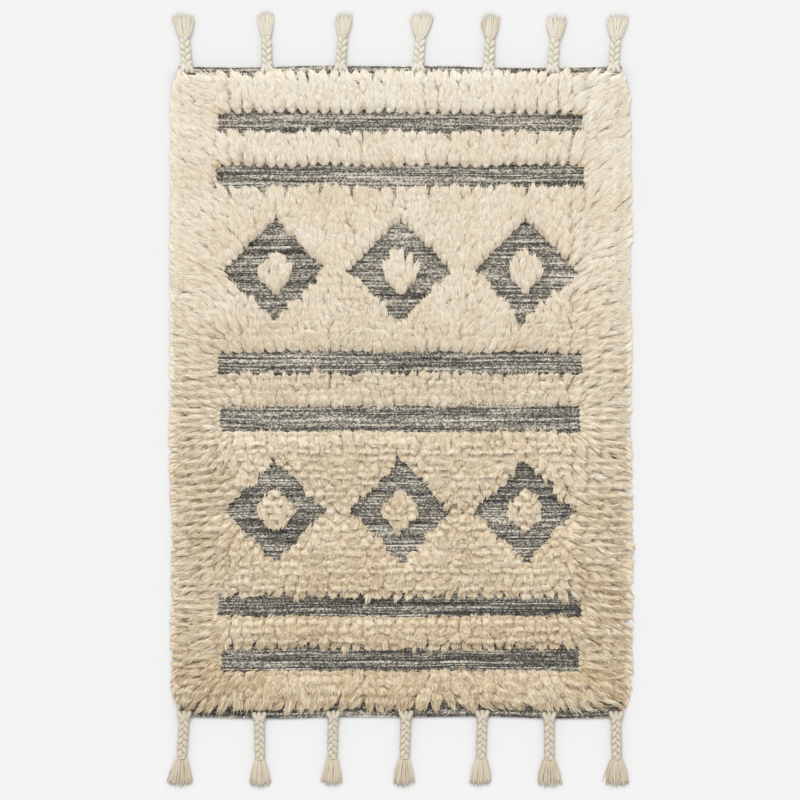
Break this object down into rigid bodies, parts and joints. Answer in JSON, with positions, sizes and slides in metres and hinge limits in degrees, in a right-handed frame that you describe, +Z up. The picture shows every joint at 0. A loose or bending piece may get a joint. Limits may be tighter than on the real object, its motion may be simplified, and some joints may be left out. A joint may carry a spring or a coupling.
{
  "type": "kilim rug",
  "caption": "Small hand-knotted wool rug with a cream shag pile on a charcoal flat-woven ground, sunk bands and diamonds, and braided tassels along both ends.",
  "frame": {"origin": "middle of the rug's footprint with its tassels, on the floor", "axes": "+Y along the length towards the end with the short tassels, +X across it, +Z up out of the pile"},
  "size_m": [0.6474, 1.0702, 0.018],
  "materials": {
    "pile_wool": "matte loose-spun shag",
    "ground_weave": "matte flat weave of charcoal and off-white wool",
    "tassel_yarn": "matte plied yarn"
  },
  "bodies": {
    "root": {"rug_field": "pile_wool", "tassel_top_1": "tassel_yarn", "tassel_top_2": "tassel_yarn", "tassel_top_3": "tassel_yarn", "tassel_top_4": "tassel_yarn", "tassel_top_5": "tassel_yarn", "tassel_top_6": "tassel_yarn", "tassel_top_7": "tassel_yarn", "tassel_foot_1": "tassel_yarn", "tassel_foot_2": "tassel_yarn", "tassel_foot_3": "tassel_yarn", "tassel_foot_4": "tassel_yarn", "tassel_foot_5": "tassel_yarn", "tassel_foot_6": "tassel_yarn", "tassel_foot_7": "tassel_yarn"}
  },
  "joints": []
}
